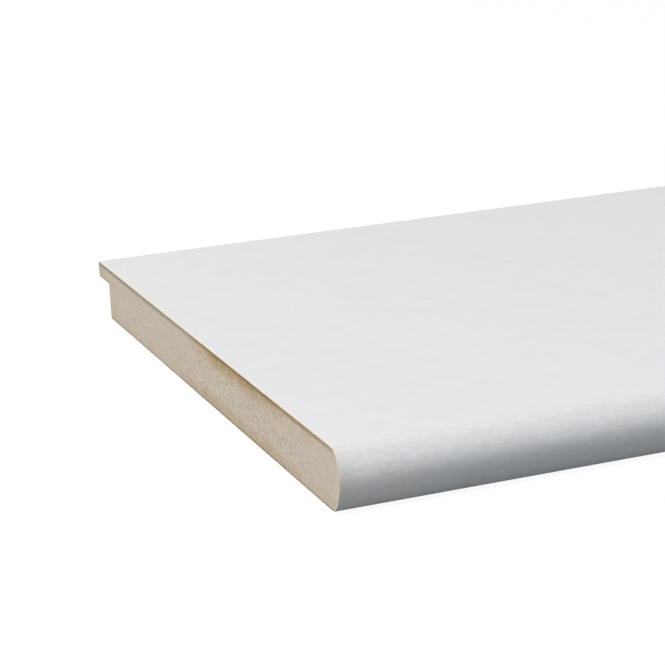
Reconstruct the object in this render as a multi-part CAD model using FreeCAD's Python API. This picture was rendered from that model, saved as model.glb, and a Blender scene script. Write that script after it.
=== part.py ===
"""Window sill board: one length of fibreboard with a rounded nose in front and a tongue behind.

The board lies flat as it would on a floor. X runs along its length, the nose faces -Y, the tongue
points to +Y and the underside is at Z = 0. The origin is under the middle of the board.
"""
import FreeCAD, Part
import math
import os

from FreeCAD import Vector

# Board, in millimetres
length = 1220.0
width = 319.0
thickness = 25.0

# Rounded nose along the front edge: height of its foremost line, and radii of its face and corners
nose_tip_height = 13.5
nose_face_radius = 17.0
nose_top_radius = 4.5
nose_foot_radius = 3.5

# The nose's face is never rounder, and its corners never larger, than these shares of the height
# from the foremost line to the top or to the underside
least_face_share = 1.05
largest_corner_share = 0.9

# Tongue along the top of the back edge, over a rebate
tongue_length = 17.0
tongue_thickness = 7.6
rebate_root_radius = 0.4

# Long corners at the back, eased before the board is primed
arris_radius = 0.6

# Directions in the cross-section, as angles from +Y towards +Z
towards_back = 0.0
towards_top = math.pi / 2
towards_front = math.pi
towards_floor = 3 * math.pi / 2
full_turn = 2 * math.pi

# Two edges whose ends are closer than this meet
touching = 1e-6


def section_point(centre, radius, angle):
    """Point at an angle on a circle in the cross-section."""
    y, z = centre
    return Vector(0, y + radius * math.cos(angle), z + radius * math.sin(angle))


def section_arc(centre, radius, start, end):
    """Arc in the cross-section, between two angles about its centre."""
    points = [section_point(centre, radius, angle) for angle in (start, (start + end) / 2, end)]
    return Part.Arc(*points).toShape()


def nose_corner(height, corner_radius, face_radius):
    """Depth of a nose corner behind the tip, and the angle at which it runs into the face."""
    rise = height - corner_radius
    depth = face_radius - math.sqrt((face_radius - corner_radius) ** 2 - rise ** 2)
    return depth, math.atan2(rise, depth - face_radius)


def nose_arcs(tip):
    """Three arcs from the top round the nose to the underside, each tangent to the next."""
    above = thickness - nose_tip_height
    below = nose_tip_height
    face_radius = max(nose_face_radius, least_face_share * max(above, below))
    top_radius = min(nose_top_radius, largest_corner_share * above)
    foot_radius = min(nose_foot_radius, largest_corner_share * below)
    top_depth, top_blend = nose_corner(above, top_radius, face_radius)
    foot_depth, foot_blend = nose_corner(below, foot_radius, face_radius)
    face_end = full_turn - foot_blend
    return [
        section_arc((tip + top_depth, thickness - top_radius), top_radius, towards_top, top_blend),
        section_arc((tip + face_radius, nose_tip_height), face_radius, top_blend, face_end),
        section_arc((tip + foot_depth, foot_radius), foot_radius, face_end, towards_floor),
    ]


def back_arcs(tongue_edge):
    """Rounded corners from the foot of the body, through the rebate, to the top of the tongue."""
    shoulder = tongue_edge - tongue_length
    tongue_underside = thickness - tongue_thickness
    arris_line = tongue_edge - arris_radius
    return [
        section_arc((shoulder - arris_radius, arris_radius), arris_radius, towards_floor, full_turn),
        section_arc((shoulder + rebate_root_radius, tongue_underside - rebate_root_radius),
                    rebate_root_radius, towards_front, towards_top),
        section_arc((arris_line, tongue_underside + arris_radius), arris_radius, towards_floor, full_turn),
        section_arc((arris_line, thickness - arris_radius), arris_radius, towards_back, towards_top),
    ]


def closed_outline(arcs):
    """Closed wire through the arcs in turn, with a straight edge across each gap between them."""
    edges = []
    for arc, following in zip(arcs, arcs[1:] + arcs[:1]):
        edges.append(arc)
        end = arc.Vertexes[-1].Point
        start = following.Vertexes[0].Point
        if end.distanceToPoint(start) > touching:
            edges.append(Part.LineSegment(end, start).toShape())
    return Part.Wire(edges)


def sill_board():
    """The whole board: its cross-section drawn once and carried along its length."""
    outline = closed_outline(nose_arcs(-width / 2) + back_arcs(width / 2))
    outline.translate(Vector(-length / 2, 0, 0))
    return Part.Face(outline).extrude(Vector(length, 0, 0))


os.makedirs("parts", exist_ok=True)
sill_board().exportStep("parts/sill_board.step")
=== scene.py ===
import math

import bpy
import numpy as np
from mathutils import Matrix, Vector, noise


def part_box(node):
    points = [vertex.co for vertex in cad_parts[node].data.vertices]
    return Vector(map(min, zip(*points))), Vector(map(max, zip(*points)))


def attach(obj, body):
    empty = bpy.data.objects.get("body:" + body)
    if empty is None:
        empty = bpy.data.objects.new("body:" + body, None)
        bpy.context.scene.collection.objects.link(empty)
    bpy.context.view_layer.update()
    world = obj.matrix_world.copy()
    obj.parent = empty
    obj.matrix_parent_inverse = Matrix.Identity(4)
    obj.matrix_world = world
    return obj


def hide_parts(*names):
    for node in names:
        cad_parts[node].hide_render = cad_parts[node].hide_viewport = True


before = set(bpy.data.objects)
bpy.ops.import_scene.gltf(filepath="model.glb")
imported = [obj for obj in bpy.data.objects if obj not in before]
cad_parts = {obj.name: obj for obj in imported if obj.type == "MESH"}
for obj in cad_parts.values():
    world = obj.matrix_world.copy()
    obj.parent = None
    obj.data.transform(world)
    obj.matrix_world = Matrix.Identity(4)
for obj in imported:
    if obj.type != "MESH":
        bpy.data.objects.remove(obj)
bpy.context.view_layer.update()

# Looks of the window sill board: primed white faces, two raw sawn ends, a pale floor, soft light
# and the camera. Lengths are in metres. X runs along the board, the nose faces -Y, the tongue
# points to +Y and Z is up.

mm = 0.001
low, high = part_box("sill_board")

# Cross-section, as in the solid
thickness = high.z - low.z
nose_tip = low.y
tongue_tip = high.y
nose_tip_height = 13.5 * mm
nose_face_radius = 17.0 * mm
nose_top_radius = 4.5 * mm
nose_foot_radius = 3.5 * mm
tongue_length = 17.0 * mm
tongue_thickness = 7.6 * mm
rebate_root_radius = 0.4 * mm
arris_radius = 0.6 * mm

shoulder = tongue_tip - tongue_length
tongue_underside = thickness - tongue_thickness

# Where the rounding of the nose ends
nose_line = nose_tip + 8.0 * mm

# Mesh of the sawn ends: rows up the board, columns across it
row_pitch = 0.62 * mm
column_pitch = 0.58 * mm
nose_blend_width = 10.0 * mm
nose_blend_columns = 32
root_columns = 4
arris_columns = 5
squeeze_height = 2.4 * mm
edge_rows = (0.0, 0.18 * mm, 0.36 * mm, 0.75 * mm, 1.2 * mm)

# Fine steps round the arcs of the nose, from which its evenly spaced points are read
nose_corner_steps = 200
nose_face_steps = 800

# Mesh of the long faces: which outline points they carry on from, and how far apart their rings are
kept_every = 8
bend_to_keep = math.radians(0.2)
end_strip = 1.5 * mm
station_pitch = 12.0 * mm

# Edges that turn by more than this are shaded as sharp
sharp_angle = math.radians(50)

# Width of the primer that the saw has smeared over the edge of a sawn end: along the top, at the
# back and underneath, and at heights up the nose, whose widths give way to the others over a short
# stretch behind it. A place counts as on the top within the tolerance.
top_tolerance = 0.01 * mm
top_film = 0.38 * mm
back_film = 0.15 * mm
nose_film_heights = (0.0, 4 * mm, 15 * mm, 20 * mm, 23 * mm, 25 * mm)
nose_film_widths = (0.3 * mm, 0.9 * mm, 1.2 * mm, 0.9 * mm, 0.9 * mm, 0.5 * mm)
film_change = (nose_line - 1 * mm, nose_line + 6 * mm)

# Ripples that the cutter leaves along the nose: how deep they are, where they fade out, and their
# noise in cells per metre along the board and per outline point round it
ripple_depth = 0.022 * mm
ripple_fade_end = nose_line + 2 * mm
ripple_fade_width = 4 * mm
ripple_cells_along = 16
ripple_cells_round = 0.73
ripple_layer = 3.1

# Tearing by the saw: its depth, its mean share of that, and its patterns in cells per metre across
# and up the board, with the weight and the noise layer of each. Each end has layers of its own.
tear_depth = 0.22 * mm
mean_tear = 0.42
tear_patterns = ((900, 1300, 0.55, 0), (160, 420, 0.3, 7), (650, 60, 0.2, 13))
near_end_layer = 0.0
far_end_layer = 50.0

# Material slots of the board's mesh
primer_slot = 0
sawn_slot = 1


def arc_points(centre, radius, start, end, count):
    """Points on an arc of the cross-section, from one angle to another, both ends included."""
    angles = np.linspace(start, end, count + 1)
    return np.stack([centre[0] + radius * np.cos(angles), centre[1] + radius * np.sin(angles)], axis=1)


def nose_corner(height, radius):
    """Depth of a nose corner behind the tip, and the angle at which it runs into the face."""
    rise = height - radius
    depth = nose_face_radius - math.sqrt((nose_face_radius - radius) ** 2 - rise ** 2)
    return depth, math.atan2(rise, depth - nose_face_radius)


def nose_curve(count):
    """Points evenly spaced round the nose, from the underside to the top."""
    foot_depth, foot_blend = nose_corner(nose_tip_height, nose_foot_radius)
    top_depth, top_blend = nose_corner(thickness - nose_tip_height, nose_top_radius)
    face_start = 2 * math.pi - foot_blend
    foot_centre = (nose_tip + foot_depth, nose_foot_radius)
    face_centre = (nose_tip + nose_face_radius, nose_tip_height)
    crown_centre = (nose_tip + top_depth, thickness - nose_top_radius)
    foot = arc_points(foot_centre, nose_foot_radius, 1.5 * math.pi, face_start, nose_corner_steps)
    face = arc_points(face_centre, nose_face_radius, face_start, top_blend, nose_face_steps)
    crown = arc_points(crown_centre, nose_top_radius, top_blend, 0.5 * math.pi, nose_corner_steps)
    path = np.concatenate([foot, face[1:], crown[1:]])
    run = np.concatenate([[0.0], np.cumsum(np.hypot(*np.diff(path, axis=0).T))])
    wanted = np.linspace(0.0, run[-1], count + 1)
    return np.stack([np.interp(wanted, run, path[:, axis]) for axis in (0, 1)], axis=1)


def rows_between(bottom, top, bottom_edge, top_edge):
    """Row heights from bottom to top, closer together along an edge that lies on the outline."""
    below = [bottom + step for step in edge_rows] if bottom_edge else [bottom]
    above = [top - step for step in reversed(edge_rows)] if top_edge else [top]
    count = max(1, round((above[0] - below[-1]) / row_pitch))
    inner = np.linspace(below[-1], above[0], count + 1)[1:-1]
    return np.concatenate([below, inner, above])


def columns_between(start, end, pitch):
    """Column places from start to end, without start itself."""
    count = max(1, round((end - start) / pitch))
    return np.linspace(start, end, count + 1)[1:]


def quarter_steps(count):
    """Angles of a quarter turn, without its start."""
    return np.linspace(0.0, math.pi / 2, count + 1)[1:]


def squeezed(heights, bottom, bottom_now, top, top_now):
    """Row heights pushed in where the outline's lower or upper edge rounds off."""
    near_bottom = np.clip(1 - (heights - bottom) / squeeze_height, 0, 1)
    near_top = np.clip(1 - (top - heights) / squeeze_height, 0, 1)
    return heights + near_bottom * (bottom_now - bottom) + near_top * (top_now - top)


def column(y, heights):
    """Section points at one place across the board."""
    return np.stack([np.full(len(heights), y), heights], axis=1)


def body_columns(heights):
    """Columns of the board's body, from the nose's own curve to the shoulder."""
    nose = nose_curve(len(heights) - 1)
    first_straight = nose_line + nose_blend_width
    straight = column(first_straight, heights)
    shares = np.linspace(0.0, 1.0, nose_blend_columns + 1)
    columns = [(1 - share) * nose + share * straight for share in shares]
    arris_line = shoulder - arris_radius
    columns += [column(y, heights) for y in columns_between(first_straight, arris_line, column_pitch)]
    for angle in quarter_steps(arris_columns):
        lift = arris_radius * (1 - math.cos(angle))
        rounded = squeezed(heights, 0.0, lift, thickness, thickness)
        columns.append(column(arris_line + arris_radius * math.sin(angle), rounded))
    return columns


def tongue_columns(heights):
    """Columns of the tongue, from just past the shoulder to its edge."""
    bottom = heights[0]
    columns = []
    for angle in quarter_steps(root_columns):
        lift = rebate_root_radius * math.sin(angle)
        rounded = squeezed(heights, bottom, bottom + lift, thickness, thickness)
        columns.append(column(shoulder + rebate_root_radius * (1 - math.cos(angle)), rounded))
    underside = bottom + rebate_root_radius
    flat = squeezed(heights, bottom, underside, thickness, thickness)
    arris_line = tongue_tip - arris_radius
    flat_columns = columns_between(shoulder + rebate_root_radius, arris_line, column_pitch)
    columns += [column(y, flat) for y in flat_columns]
    for angle in quarter_steps(arris_columns):
        drop = arris_radius * (1 - math.cos(angle))
        rounded = squeezed(heights, bottom, underside + drop, thickness, thickness - drop)
        columns.append(column(arris_line + arris_radius * math.sin(angle), rounded))
    return columns


def film_width(y, z):
    """Width of the primer film seen at a place on the outline, where the saw has smeared it inwards."""
    on_nose = np.interp(z, nose_film_heights, nose_film_widths)
    on_board = top_film if z > thickness - top_tolerance else back_film
    return np.interp(y, film_change, (on_nose, on_board))


class Section:
    """The cross-section as a grid of points, the quads between them, and the outline round them."""

    def __init__(self):
        root_start = tongue_underside - rebate_root_radius
        lower = rows_between(0.0, root_start, bottom_edge=True, top_edge=False)
        upper = rows_between(root_start, thickness, bottom_edge=False, top_edge=True)
        heights = np.concatenate([lower, upper[1:]])
        split = len(lower) - 1
        body = body_columns(heights)
        tongue = tongue_columns(upper)
        self.points = np.concatenate(body + tongue)
        body_index = np.arange(len(body) * len(heights)).reshape(len(body), len(heights))
        tongue_numbers = body_index.size + np.arange(len(tongue) * len(upper))
        tongue_index = np.vstack([body_index[-1, split:], tongue_numbers.reshape(len(tongue), len(upper))])
        self.quads = self.grid_quads(body_index) + self.grid_quads(tongue_index)
        self.outline = np.concatenate([
            body_index[:, 0],
            body_index[-1, 1:split + 1],
            tongue_index[1:, 0],
            tongue_index[-1, 1:],
            tongue_index[-2::-1, -1],
            body_index[-2::-1, -1],
            body_index[0, -2:0:-1],
        ])

    @staticmethod
    def grid_quads(index):
        """Quads of a grid of point numbers, turned to face +X."""
        return [
            (index[i, j], index[i + 1, j], index[i + 1, j + 1], index[i, j + 1])
            for i in range(index.shape[0] - 1)
            for j in range(index.shape[1] - 1)
        ]

    def depths_in(self):
        """How far each point is inside the outline, in metres and in widths of the primer film there."""
        ring = self.points[self.outline]
        depth = np.full(len(self.points), np.inf)
        film_widths = np.full(len(self.points), np.inf)
        for start, end in zip(ring, np.roll(ring, -1, axis=0)):
            run = end - start
            share = np.clip((self.points - start) @ run / (run @ run), 0, 1)
            away = np.hypot(*(self.points - start - share[:, None] * run).T)
            depth = np.minimum(depth, away)
            film_widths = np.minimum(film_widths, away / film_width(*start))
        return depth, film_widths

    def kept(self):
        """Places in the outline that the long faces carry on from: every bend, and some on each flat."""
        ring = self.points[self.outline]
        ahead = np.roll(ring, -1, axis=0) - ring
        behind = ring - np.roll(ring, 1, axis=0)
        cross = behind[:, 0] * ahead[:, 1] - behind[:, 1] * ahead[:, 0]
        bend = np.abs(np.arctan2(cross, (behind * ahead).sum(axis=1)))
        places = np.arange(len(ring))
        return places[(bend > bend_to_keep) | (places % kept_every == 0)]


def torn(y, z, end_layer):
    """How deep the saw has torn a sawn end at a place, from 0 to 1."""
    depth = mean_tear
    for cells_across, cells_up, weight, layer in tear_patterns:
        depth += weight * noise.noise(Vector((y * cells_across, z * cells_up, end_layer + layer)))
    return min(1.0, max(0.0, depth))


def end_face(section, widths_in, x, inward, end_layer):
    """Points of one sawn end: flat along its primed edge and torn inside it."""
    points = []
    for (y, z), width_in in zip(section.points, widths_in):
        sink = tear_depth * min(1.0, width_in) * torn(y, z, end_layer)
        points.append((x + inward * sink, y, z))
    return points


def rippled(section, kept):
    """Outline points for the long faces, each with its outward direction and how strongly it ripples."""
    ring = section.points[section.outline]
    tangent = np.roll(ring, -1, axis=0) - np.roll(ring, 1, axis=0)
    tangent /= np.hypot(*tangent.T)[:, None]
    outward = np.stack([tangent[:, 1], -tangent[:, 0]], axis=1)
    on_nose = np.clip((ripple_fade_end - ring[:, 0]) / ripple_fade_width, 0, 1)
    return ring[kept], outward[kept], on_nose[kept]


def station_points(x, ring, outward, on_nose):
    """One ring of the long faces, with the faint lengthwise ripples of the machined nose."""
    points = []
    for number, ((y, z), (out_y, out_z), share) in enumerate(zip(ring, outward, on_nose)):
        place = Vector((x * ripple_cells_along, number * ripple_cells_round, ripple_layer))
        sink = ripple_depth * share * (0.5 + 0.5 * noise.noise(place))
        points.append((x, y - out_y * sink, z - out_z * sink))
    return points


def ring_stations():
    """Places along the board where the long faces have a ring of points."""
    first = low.x + end_strip
    length = high.x - low.x - 2 * end_strip
    return np.concatenate([[first], first + columns_between(0, length, station_pitch)])


def joining_faces(outline, kept, far_end, first_ring, last_ring):
    """Faces between the outline of each sawn end and the ring of points beside it."""
    faces = []
    for place, start in enumerate(kept):
        following = (place + 1) % len(kept)
        span = (kept[following] - start) % len(outline)
        near = [outline[(start + step) % len(outline)] for step in range(span + 1)]
        far = [far_end + corner for corner in reversed(near)]
        faces.append(tuple(near + [first_ring + following, first_ring + place]))
        faces.append(tuple(far + [last_ring + place, last_ring + following]))
    return faces


def ring_faces(first_ring, last_ring, size):
    """Faces between each ring of points along the board and the next."""
    faces = []
    for here in range(first_ring, last_ring, size):
        ahead = here + size
        for place in range(size):
            following = (place + 1) % size
            faces.append((here + place, here + following, ahead + following, ahead + place))
    return faces


def board_mesh():
    """One closed mesh: two sawn ends and the long faces between them."""
    section = Section()
    depth, widths_in = section.depths_in()
    kept = section.kept()
    far_end = len(section.points)
    points = end_face(section, widths_in, low.x, inward=1, end_layer=near_end_layer)
    points += end_face(section, widths_in, high.x, inward=-1, end_layer=far_end_layer)
    faces = [tuple(reversed(quad)) for quad in section.quads]
    faces += [tuple(far_end + corner for corner in quad) for quad in section.quads]
    first_ring = len(points)
    sawn_faces = len(faces)

    stations = ring_stations()
    ring, outward, on_nose = rippled(section, kept)
    for x in stations:
        points += station_points(x, ring, outward, on_nose)
    last_ring = first_ring + (len(stations) - 1) * len(kept)
    faces += joining_faces(section.outline, kept, far_end, first_ring, last_ring)
    faces += ring_faces(first_ring, last_ring, len(kept))

    mesh = bpy.data.meshes.new("sill_board_surface")
    mesh.from_pydata(points, [], faces)
    slots = np.full(len(faces), primer_slot, dtype=np.int32)
    slots[:sawn_faces] = sawn_slot
    mesh.polygons.foreach_set("material_index", slots)
    for name, on_section in (("depth_in", depth), ("film_widths_in", widths_in)):
        values = np.zeros(len(points), dtype=np.float32)
        values[:first_ring] = np.tile(on_section, 2)
        mesh.attributes.new(name, "FLOAT", "POINT").data.foreach_set("value", values)
    mesh.polygons.foreach_set("use_smooth", np.ones(len(faces), dtype=bool))
    mesh.set_sharp_from_angle(angle=sharp_angle)
    mesh.update()
    return mesh


class Nodes:
    """The nodes of a material or of the world, built up from none."""

    def __init__(self, owner):
        owner.use_nodes = True
        self.tree = owner.node_tree
        self.tree.nodes.clear()

    def link(self, source, target):
        """Sets an input to a node's output, or to a plain number, vector or colour."""
        if isinstance(source, bpy.types.NodeSocket):
            self.tree.links.new(source, target)
        elif target.type == "RGBA":
            target.default_value = (*source, 1.0)
        else:
            target.default_value = source

    def add(self, kind, inputs=None, **settings):
        """A node of one kind, with its settings made first and then its inputs."""
        node = self.tree.nodes.new(kind)
        for name, value in settings.items():
            setattr(node, name, value)
        for name, source in (inputs or {}).items():
            self.link(source, node.inputs[name])
        return node

    def math(self, operation, first, second):
        """One arithmetic step."""
        return self.add("ShaderNodeMath", {0: first, 1: second}, operation=operation).outputs[0]

    def seen_directly(self):
        """1 where the camera, a reflection or a view through glass meets the surface, otherwise 0."""
        path = self.add("ShaderNodeLightPath").outputs
        camera_or_glossy = self.math("MAXIMUM", path["Is Camera Ray"], path["Is Glossy Ray"])
        return self.math("MAXIMUM", camera_or_glossy, path["Is Transmission Ray"])

    def seen_or_bounced(self, seen, bounced):
        """One shader where the surface is seen, and another for the light that bounces from it."""
        inputs = {0: self.seen_directly(), 1: bounced.outputs[0], 2: seen.outputs[0]}
        return self.add("ShaderNodeMixShader", inputs).outputs[0]


class Material(Nodes):
    """A node material of the board."""

    def __init__(self, name):
        self.material = bpy.data.materials.new(name)
        super().__init__(self.material)
        self.coordinates = self.add("ShaderNodeTexCoord").outputs["Object"]
        parts = self.add("ShaderNodeSeparateXYZ", {"Vector": self.coordinates})
        self.x, self.y, self.z = parts.outputs

    def attribute(self, name):
        """A number that the mesh holds at its points."""
        return self.add("ShaderNodeAttribute", attribute_name=name).outputs["Fac"]

    def noise(self, cells, detail=2.0, roughness=0.5, layer=0.0):
        """Noise over the board's own coordinates, in cells per metre along X, Y and Z."""
        shift = (layer, layer, layer)
        inputs = {"Vector": self.coordinates, "Scale": cells, "Location": shift}
        place = self.add("ShaderNodeMapping", inputs).outputs["Vector"]
        inputs = {"Vector": place, "Scale": 1.0, "Detail": detail, "Roughness": roughness}
        return self.add("ShaderNodeTexNoise", inputs).outputs["Fac"]

    def ramp(self, value, span, ends=(0.0, 1.0)):
        """Goes smoothly from one of two end values to the other while a value crosses a span."""
        inputs = {"Value": value}
        inputs["From Min"], inputs["From Max"] = span
        inputs["To Min"], inputs["To Max"] = ends
        return self.add("ShaderNodeMapRange", inputs, interpolation_type="SMOOTHSTEP").outputs["Result"]

    def across(self, start, end, ends=(0.0, 1.0)):
        """A ramp across the board, between two places in millimetres behind its middle."""
        return self.ramp(self.y, (start * mm, end * mm), ends)

    def product(self, first, *others):
        """Several values multiplied together."""
        for other in others:
            first = self.math("MULTIPLY", first, other)
        return first

    def mix(self, share, first, second, blend="MIX"):
        """One colour mixed with another."""
        inputs = {"Factor": share, "A": first, "B": second}
        node = self.add("ShaderNodeMix", inputs, data_type="RGBA", blend_type=blend)
        return node.outputs["Result"]

    def grey(self, value):
        """A neutral colour of a given brightness."""
        inputs = {"Red": value, "Green": value, "Blue": value}
        return self.add("ShaderNodeCombineColor", inputs).outputs["Color"]

    def bump(self, height, distance, strength, under=None):
        """Relief finer than the mesh, with another relief under it if one is given."""
        inputs = {"Distance": distance, "Strength": strength, "Height": height}
        if under is not None:
            inputs["Normal"] = under
        return self.add("ShaderNodeBump", inputs).outputs["Normal"]

    def surface(self, colour, roughness, specular, normal):
        """The shader itself."""
        inputs = {
            "Base Color": colour,
            "Roughness": roughness,
            "Specular IOR Level": specular,
            "Normal": normal,
        }
        shader = self.add("ShaderNodeBsdfPrincipled", inputs)
        self.add("ShaderNodeOutputMaterial", {"Surface": shader.outputs["BSDF"]})


class WhitePrimer(Material):
    """Matte white primer: faint mottling, a few short smudges, fine dashes along the nose, and painted
    light and shade up the nose.
    """

    cool = (0.777, 0.772, 0.783)
    warm = (0.775, 0.768, 0.758)
    smudge = (0.735, 0.727, 0.715)
    cream = (0.855, 0.768, 0.662)
    rubbed_cream = (0.70, 0.65, 0.585)
    tint_slant = 0.45

    # Painted light and shade up the nose: the colour is made lighter on its face, and darker over its crown
    # and at its foot
    face_heights = (16.8 * mm, 19.6 * mm)
    painted_face_light = 1.045
    crown_heights = (21.4 * mm, 24.6 * mm)
    painted_crown_shade = 0.925
    foot_heights = (12.3 * mm, 17.0 * mm)
    painted_foot_shade_by_cut = (0.958, 0.954, 0.942)
    painted_foot_shade_further_on = (0.886, 0.898, 0.900)

    def __init__(self):
        super().__init__("white_primer")
        self.from_cut = self.math("SUBTRACT", self.x, low.x)
        self.on_nose = self.ramp(self.y, (nose_line - 2.0 * mm, nose_line - 0.5 * mm), (1.0, 0.0))
        # The shade multiplies the mottling and the dashes with the painted light and shade up the nose
        shade = self.product(
            self.math("SUBTRACT", 1.0, self.mottling()),
            self.on_nose_only(self.dashes()),
            self.on_nose_only(self.painted_light_up_nose()),
        )
        colour = self.mix(1.0, self.smudged(self.tint()), self.grey(shade), "MULTIPLY")
        # Painted shade darkens the nose towards its foot
        colour = self.worn_by_ends(self.with_painted_foot_shade(colour))
        self.surface(colour, roughness=0.75, specular=0.4, normal=self.relief())

    def tint(self):
        """Cool white, turning warm towards the back of the near end."""
        slanted = self.math("SUBTRACT", self.y, self.product(self.from_cut, self.tint_slant))
        return self.mix(self.ramp(slanted, (-210 * mm, 90 * mm)), self.cool, self.warm)

    def mottling(self):
        """How much blotches and spots darken the primer, less so further along."""
        blotches = self.noise((90, 90, 90), detail=4, roughness=0.6)
        spots = self.noise((300, 280, 280), detail=3, roughness=0.6)
        both = self.math("ADD", self.ramp(blotches, (0.3, 0.7), (0.02, 0.0)),
                         self.ramp(spots, (0.35, 0.7), (0.0, 0.02)))
        return self.product(both, self.ramp(self.from_cut, (60 * mm, 350 * mm), (1.0, 0.4)))

    def smudged(self, colour):
        """A few short greyish smudges, fainter further along."""
        smudges = self.ramp(self.noise((50, 190, 190), layer=4.0), (0.62, 0.78))
        further_on = self.ramp(self.from_cut, (100 * mm, 400 * mm), (0.6, 0.25))
        return self.mix(self.product(smudges, further_on), colour, self.smudge)

    def on_nose_only(self, change):
        """A shade of 1 with a change that shows on the nose alone."""
        return self.math("ADD", 1.0, self.product(change, self.on_nose))

    def dashes(self):
        """Fine lengthwise dashes, some lighter and some darker, clearest near the cut."""
        pattern = self.noise((260, 1000, 1000), detail=3, roughness=0.65, layer=2.0)
        near_cut = self.ramp(self.from_cut, (0.0, 60 * mm), (1.25, 1.0))
        return self.product(self.ramp(pattern, (0.3, 0.7), (-0.045, 0.045)), near_cut)

    def painted_light_up_nose(self):
        """Painted light on the nose's face and painted shade over its crown: how much lighter and darker
        the colour is made.
        """
        face = self.ramp(self.z, self.face_heights, (1.0, self.painted_face_light))
        crown = self.ramp(self.z, self.crown_heights, (1.0, self.painted_crown_shade))
        return self.math("SUBTRACT", self.product(face, crown), 1.0)

    def with_painted_foot_shade(self, colour):
        """Painted shade: the nose's colour darker towards its foot, less so beside the cut."""
        further_on = self.ramp(self.from_cut, (20 * mm, 55 * mm))
        shade = self.mix(further_on, self.painted_foot_shade_by_cut, self.painted_foot_shade_further_on)
        share = self.product(self.ramp(self.z, self.foot_heights, (1.0, 0.0)), self.on_nose)
        return self.mix(share, colour, self.mix(1.0, colour, shade, "MULTIPLY"))

    def worn_by_ends(self, colour):
        """Cream primer thinned beside each saw cut, and the nose rubbed a little further in."""
        from_end = self.math("MINIMUM", self.from_cut, self.math("SUBTRACT", high.x, self.x))
        thinned = self.product(self.ramp(from_end, (0.0, 1.9 * mm), (0.85, 0.0)),
                               self.ramp(self.on_nose, (0.0, 1.0), (1.0, 0.3)))
        rubbed = self.product(self.ramp(from_end, (2 * mm, 9 * mm), (0.28, 0.0)), self.on_nose)
        return self.mix(rubbed, self.mix(thinned, colour, self.cream), self.rubbed_cream)

    def relief(self):
        """Stippled paint, with lengthwise sanding marks that are stronger on the nose."""
        marks = self.product(self.noise((180, 1400, 1400)),
                             self.ramp(self.on_nose, (0.0, 1.0), (0.3, 0.55)))
        stippled = self.bump(self.noise((600, 600, 600)), distance=0.02 * mm, strength=0.3)
        return self.bump(marks, distance=0.02 * mm, strength=0.6, under=stippled)


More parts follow.
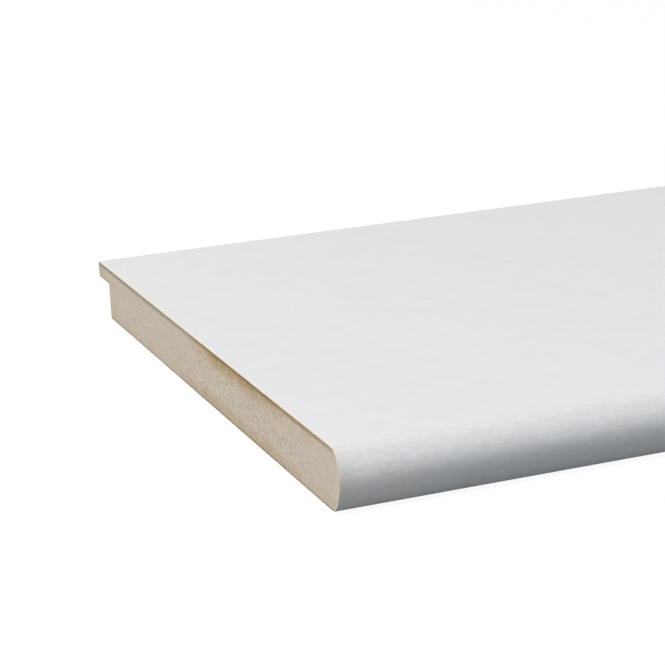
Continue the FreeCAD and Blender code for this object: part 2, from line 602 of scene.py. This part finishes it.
class SawnFibreboard(Material):
    """Raw fibreboard on the sawn ends: flecked tan, stained, and dense under a rim of smeared primer."""

    tan = (0.555, 0.475, 0.380)
    grey_tan = (0.535, 0.475, 0.400)
    ochre_tan = (0.525, 0.415, 0.285)
    pale_fleck = (0.71, 0.64, 0.54)
    dark_fleck = (0.27, 0.21, 0.15)
    orange_fleck = (0.60, 0.36, 0.18)
    stain = (0.35, 0.215, 0.070)
    dull_stain = (0.30, 0.235, 0.150)
    skin = (0.17, 0.130, 0.085)
    grey_skin = (0.24, 0.21, 0.17)
    # Real primer rim at the top, with a painted highlight of the edge making it lighter than the primer
    primer_with_painted_highlight = (0.865, 0.80, 0.70)
    thin_primer = (0.59, 0.55, 0.475)

    def __init__(self):
        super().__init__("sawn_fibreboard")
        self.depth_in = self.attribute("depth_in")
        self.below_top = self.math("SUBTRACT", thickness, self.z)
        self.towards_back = self.across(-40, 60)
        past_crown = self.ramp(self.y, (nose_tip + 2.5 * mm, nose_tip + 7.0 * mm))
        self.upper = self.product(self.ramp(self.z, (19 * mm, 22.5 * mm)), past_crown)
        self.fleck_strength = self.product(self.across(-10, 40, (0.47, 0.18)),
                                           self.across(-150, -100, (0.24, 1.0)))
        colour = self.stained(self.flecked(self.mottled_tan()))
        colour = self.rimmed(self.skinned(colour))
        self.surface(colour, roughness=0.85, specular=0.12, normal=self.relief())

    def mottled_tan(self):
        """The board's own tan, greyer and more ochre in patches."""
        grey_patches = self.noise((1, 110, 170), detail=3, roughness=0.6)
        ochre_patches = self.noise((1, 130, 200), detail=3, roughness=0.6, layer=9.0)
        colour = self.mix(self.ramp(grey_patches, (0.35, 0.65)), self.tan, self.grey_tan)
        return self.mix(self.ramp(ochre_patches, (0.5, 0.7), (0.0, 0.5)), colour, self.ochre_tan)

    def flecked(self, colour):
        """Pale flecks, dark flecks and a few larger dark specks."""
        pale = self.ramp(self.noise((1, 470, 1000), roughness=0.6), (0.45, 0.7))
        dark = self.ramp(self.noise((1, 440, 960), roughness=0.6, layer=3.0), (0.50, 0.69))
        specks = self.ramp(self.noise((1, 260, 460), detail=1, layer=6.0), (0.72, 0.78))
        for pattern, fleck in ((pale, self.pale_fleck), (dark, self.dark_fleck), (specks, self.dark_fleck)):
            colour = self.mix(self.product(pattern, self.fleck_strength), colour, fleck)
        return colour

    def stained(self, colour):
        """Brown stains: shallow under the top, deep and low in the front half, with orange flecks."""
        mottled = self.noise((1, 150, 330), detail=3, roughness=0.65, layer=12.0)
        mottled = self.ramp(mottled, (0.35, 0.65), (0.65, 1.25))
        patchy = self.ramp(self.noise((1, 60, 60), detail=3, layer=5.0), (0.3, 0.7), (0.6, 1.0))
        patchy = self.product(patchy, mottled)

        shallow = self.product(self.ramp(self.depth_in, (1.0 * mm, 3.4 * mm), (0.66, 0.0)),
                               self.across(85, 145, (1.0, 0.4)), self.across(-150, -115, (0.6, 1.0)),
                               mottled, self.upper)
        deep = self.product(self.across(-125, -60), self.across(-35, 30, (1.0, 0.0)), patchy,
                            self.ramp(self.below_top, (1.5 * mm, 9.5 * mm), (0.90, 0.0)))
        lower = self.product(self.across(-130, -80, (0.5, 1.0)), self.across(10, 45, (1.0, 0.35)), patchy,
                             self.ramp(self.z, (2.0 * mm, 8.0 * mm), (0.42, 0.0)))
        colour = self.mix(shallow, colour, self.mix(self.towards_back, self.stain, self.dull_stain))
        for amount in (deep, lower):
            colour = self.mix(amount, colour, self.stain)

        orange = self.ramp(self.noise((1, 250, 520), roughness=0.6, layer=15.0), (0.55, 0.68))
        orange = self.product(orange, self.math("MAXIMUM", deep, lower))
        colour = self.mix(orange, colour, self.orange_fleck)
        return self.mix(self.across(125, 155, (0.0, 0.4)), colour, self.ochre_tan)

    def skinned(self, colour):
        """Denser, darker board under the top, over the underside and inside the back edge."""
        dense = self.mix(self.towards_back, self.skin, self.grey_skin)
        strength = self.product(self.across(-110, -80, (0.33, 0.64)), self.across(-25, 15, (1.0, 0.56)))
        strength = self.math("ADD", strength, self.across(80, 120, (0.0, 0.34)))
        top = self.product(self.ramp(self.depth_in, (1.1 * mm, 2.3 * mm), (1.0, 0.0)),
                           self.product(strength, self.upper))
        underside = self.ramp(self.z, (0.4 * mm, 1.4 * mm), (0.62, 0.0))
        back_edge = self.product(self.ramp(self.depth_in, (0.5 * mm, 1.6 * mm), (0.4, 0.0)),
                                 self.across(100, 130))
        for amount, darker in ((top, dense), (underside, dense), (back_edge, self.grey_skin)):
            colour = self.mix(amount, colour, darker)
        return colour

    def rimmed(self, colour):
        """The rim of primer that the saw has smeared inwards: at the top a painted highlight, lighter than
        the primer itself, and thin and darker below it.
        """
        lower_down = self.ramp(self.below_top, (0.8 * mm, 3.4 * mm))
        # At the top the rim's colour is a painted highlight along the edge, on top of the real primer rim
        primer = self.mix(lower_down, self.primer_with_painted_highlight, self.thin_primer)
        rim = self.ramp(self.attribute("film_widths_in"), (0.75, 1.25), (0.9, 0.0))
        return self.mix(rim, colour, primer)

    def relief(self):
        """Fibres that the saw has raised, more where the flecks are strong."""
        fibres = self.noise((1500, 1500, 2500), detail=3, roughness=0.7)
        raised = self.product(fibres, self.ramp(self.fleck_strength, (0.1, 0.5), (0.4, 1.0)))
        return self.bump(raised, distance=0.12 * mm, strength=0.6)


def add_board():
    """The board as one piece, which stands for the plain solid."""
    board = bpy.data.objects.new("sill_board_surface", board_mesh())
    bpy.context.collection.objects.link(board)
    board.data.materials.append(WhitePrimer().material)
    board.data.materials.append(SawnFibreboard().material)
    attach(board, "root")
    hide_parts("sill_board")


# Camera, worked out from the board's edges in the photograph. The image's width and the focal
# length are in pixels, the sensor's width is in millimetres, and the camera's place is given from
# the floor under the tongue's edge at the near end.
image_width = 665
focal_length = 2139.6
sensor_width = 36.0
camera_yaw = math.radians(20.739)
camera_pitch = math.radians(16.131)
camera_roll = math.radians(2.557)
camera_from_corner = Vector((-254.8, -991.7, 277.6)) * mm
nearest_seen = 0.01
furthest_seen = 100.0


def add_camera():
    """The camera at the photograph's viewing angle."""
    data = bpy.data.cameras.new("camera")
    data.sensor_width = sensor_width
    data.lens = focal_length * sensor_width / image_width
    data.clip_start = nearest_seen
    data.clip_end = furthest_seen
    camera = bpy.data.objects.new("camera", data)
    bpy.context.collection.objects.link(camera)
    forward = Vector((
        math.sin(camera_yaw) * math.cos(camera_pitch),
        math.cos(camera_yaw) * math.cos(camera_pitch),
        -math.sin(camera_pitch),
    ))
    level = Vector((math.cos(camera_yaw), -math.sin(camera_yaw), 0.0))
    down = forward.cross(level)
    right = math.cos(camera_roll) * level + math.sin(camera_roll) * down
    up = math.sin(camera_roll) * level - math.cos(camera_roll) * down
    turn = Matrix((right, up, -forward)).transposed().to_4x4()
    corner = Vector((low.x, high.y, 0.0))
    camera.matrix_world = Matrix.Translation(corner + camera_from_corner) @ turn
    bpy.context.scene.camera = camera


# Floor: how far it reaches, how far it lies below the board, the colour that light bounces from,
# the colour that shows the shadow, and the glow that brings it to white
floor_reach = 30.0
floor_drop = 0.1 * mm
floor_bounce = (0.115, 0.122, 0.128)
floor_shading = (0.10, 0.10, 0.10)
floor_glow = 0.92


def floor_material():
    """White with the board's soft shadow on it to the eye, and dim to the light that bounces."""
    material = bpy.data.materials.new("floor")
    nodes = Nodes(material)
    bounce = nodes.add("ShaderNodeBsdfDiffuse", {"Color": floor_bounce})
    shaded = nodes.add("ShaderNodeBsdfDiffuse", {"Color": floor_shading})
    glow = nodes.add("ShaderNodeEmission", {"Strength": floor_glow})
    shown = nodes.add("ShaderNodeAddShader", {0: shaded.outputs[0], 1: glow.outputs[0]})
    nodes.add("ShaderNodeOutputMaterial", {"Surface": nodes.seen_or_bounced(shown, bounce)})
    return material


def add_floor():
    """A wide plain floor just under the board."""
    corners = [(-1, -1), (1, -1), (1, 1), (-1, 1)]
    points = [(x * floor_reach, y * floor_reach, -floor_drop) for x, y in corners]
    mesh = bpy.data.meshes.new("floor")
    mesh.from_pydata(points, [], [(0, 1, 2, 3)])
    mesh.materials.append(floor_material())
    floor = bpy.data.objects.new("floor", mesh)
    bpy.context.collection.objects.link(floor)


# Surround: a dim even light on the board, and plain white to the eye
dome_colour = (0.94, 0.97, 1.0)
dome_strength = 0.12
white = (1.0, 1.0, 1.0)


def add_world():
    """The surround of the scene."""
    world = bpy.data.worlds.new("world")
    bpy.context.scene.world = world
    nodes = Nodes(world)
    dome = nodes.add("ShaderNodeBackground", {"Color": dome_colour, "Strength": dome_strength})
    backdrop = nodes.add("ShaderNodeBackground", {"Color": white, "Strength": 1.0})
    nodes.add("ShaderNodeOutputWorld", {"Surface": nodes.seen_or_bounced(backdrop, dome)})


# Lamps: name, width, power in watts, place, the point that each one faces, and colour
near_half = (-0.3, 0.0, 0.0)
far_half = (0.3, 0.0, 0.0)
cool_white = (0.92, 0.97, 1.0)
lamps = (
    ("key", 1.0, 145.0, (-3.2, -0.63, 2.6), near_half, white),
    ("front_fill", 1.2, 25.2, (-0.6, -3.0, 0.8), near_half, cool_white),
    ("back_left_fill", 1.2, 21.5, (-2.5, 2.5, 0.8), near_half, cool_white),
    ("back_right_fill", 1.2, 39.0, (2.6, 2.2, 0.6), near_half, cool_white),
    ("right_fill", 1.0, 16.0, (3.0, -0.3, 1.6), far_half, white),
)


def add_lamp(name, width, power, place, target, colour):
    """A square soft box that faces a point."""
    data = bpy.data.lights.new(name, "AREA")
    data.shape = "SQUARE"
    data.size = width
    data.energy = power
    data.color = colour
    lamp = bpy.data.objects.new(name, data)
    bpy.context.collection.objects.link(lamp)
    lamp.location = place
    lamp.rotation_mode = "QUATERNION"
    lamp.rotation_quaternion = (Vector(target) - Vector(place)).to_track_quat("-Z", "Y")


add_camera()
add_board()
add_floor()
add_world()
for lamp in lamps:
    add_lamp(*lamp)
bpy.context.scene.view_settings.view_transform = "Standard"
